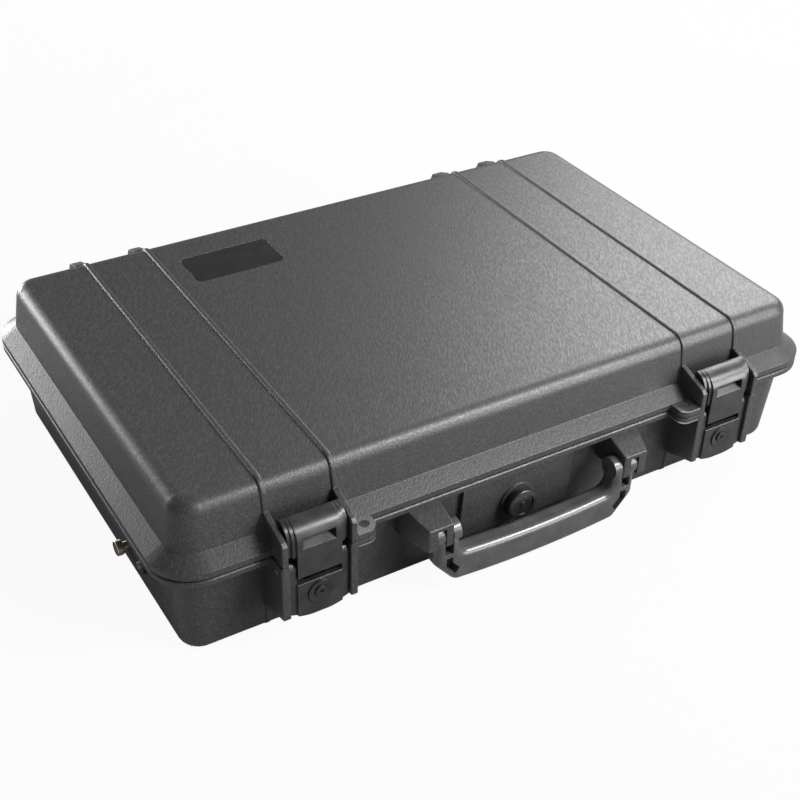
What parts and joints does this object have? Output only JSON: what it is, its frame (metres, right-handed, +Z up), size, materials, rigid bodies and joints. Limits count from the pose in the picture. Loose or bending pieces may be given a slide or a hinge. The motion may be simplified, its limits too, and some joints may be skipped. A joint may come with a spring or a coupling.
{
  "type": "laptop hard case",
  "caption": "Hard-shell laptop case with a hinged lid, locking lever latches, a folding handle, padlock lugs, a purge valve and shoulder-strap studs, lined with foam.",
  "frame": {"origin": "under the middle of the case, on the flat underside that it lies on", "axes": "+X along the front, to the right as the latches are faced; +Y from the latches to the hinges; +Z up, from the base to the lid"},
  "size_m": [0.505, 0.3532, 0.118],
  "materials": {
    "shell": "satin",
    "latch": "satin",
    "handle": "satin",
    "valve": "satin",
    "seal": "matte",
    "foam": "matte",
    "label": "gloss",
    "lock": "satin",
    "pin": "satin",
    "eyelet": "satin",
    "stud": "polished"
  },
  "bodies": {
    "base": {"base_shell": "shell", "valve_panel": "shell", "base_foam": "foam", "handle_bracket_left": "shell", "handle_bracket_right": "shell", "latch_guard_outer_left": "shell", "latch_guard_outer_right": "shell", "latch_guard_inner_left": "shell", "latch_guard_inner_right": "shell", "base_padlock_eyelet_left": "eyelet", "base_padlock_eyelet_right": "eyelet", "hinge_pin_left": "pin", "hinge_pin_right": "pin", "lever_pins_left": "pin", "lever_pins_right": "pin", "handle_pins": "pin", "purge_valve_body": "valve", "purge_valve_seal": "seal", "purge_valve_nut": "valve", "strap_anchor_left": "stud", "strap_anchor_right": "stud", "strap_stud_left": "stud", "strap_stud_right": "stud", "strap_stud_nut_left": "stud", "strap_stud_nut_right": "stud", "anchor_screws": "stud"},
    "lid": {"lid_shell": "shell", "lid_foam": "foam", "lid_gasket": "seal", "label_plate": "label", "lid_padlock_eyelet_left": "eyelet", "lid_padlock_eyelet_right": "eyelet"},
    "handle": {"carry_handle": "handle"},
    "purge_knob": {"purge_valve_knob": "valve"},
    "lever_left": {"latch_lever_left": "latch", "hook_pin_left": "pin", "lock_barrel_left": "lock", "lock_nut_left": "lock"},
    "hook_left": {"latch_hook_left": "latch"},
    "lock_left": {"lock_plug_left": "lock", "lock_cam_left": "lock"},
    "lever_right": {"latch_lever_right": "latch", "hook_pin_right": "pin", "lock_barrel_right": "lock", "lock_nut_right": "lock"},
    "hook_right": {"latch_hook_right": "latch"},
    "lock_right": {"lock_plug_right": "lock", "lock_cam_right": "lock"}
  },
  "joints": [
    {"name": "lid_hinge", "type": "hinge", "parent": "base", "child": "lid", "pos_m": [0, 0.167, 0.072], "axis": [-1, 0, 0], "range_deg": [0, 105]},
    {"name": "latch_lever_left", "type": "hinge", "parent": "base", "child": "lever_left", "pos_m": [-0.1592, -0.1685, 0.065], "axis": [-1, 0, 0], "range_deg": [0, 80]},
    {"name": "latch_hook_left", "type": "hinge", "parent": "lever_left", "child": "hook_left", "pos_m": [-0.1592, -0.1693, 0.06], "axis": [1, 0, 0], "range_deg": [0, 88]},
    {"name": "lock_turn_left", "type": "hinge", "parent": "lever_left", "child": "lock_left", "pos_m": [-0.1592, -0.17, 0.0436], "axis": [0, -1, 0], "range_deg": [0, 90]},
    {"name": "latch_lever_right", "type": "hinge", "parent": "base", "child": "lever_right", "pos_m": [0.1592, -0.1685, 0.065], "axis": [-1, 0, 0], "range_deg": [0, 80]},
    {"name": "latch_hook_right", "type": "hinge", "parent": "lever_right", "child": "hook_right", "pos_m": [0.1592, -0.1693, 0.06], "axis": [1, 0, 0], "range_deg": [0, 88]},
    {"name": "lock_turn_right", "type": "hinge", "parent": "lever_right", "child": "lock_right", "pos_m": [0.1592, -0.17, 0.0436], "axis": [0, -1, 0], "range_deg": [0, 90]},
    {"name": "handle_swing", "type": "hinge", "parent": "base", "child": "handle", "pos_m": [0, -0.1727, 0.051], "axis": [-1, 0, 0], "range_deg": [0, 90]},
    {"name": "purge_knob_turn", "type": "hinge", "parent": "base", "child": "purge_knob", "pos_m": [0, -0.16, 0.036], "axis": [0, 1, 0], "range_deg": [0, 270]}
  ],
  "couplings": [
    {"joint": "latch_hook_left", "follows": "latch_lever_left", "ratio": 1.1},
    {"joint": "latch_hook_right", "follows": "latch_lever_right", "ratio": 1.1}
  ]
}
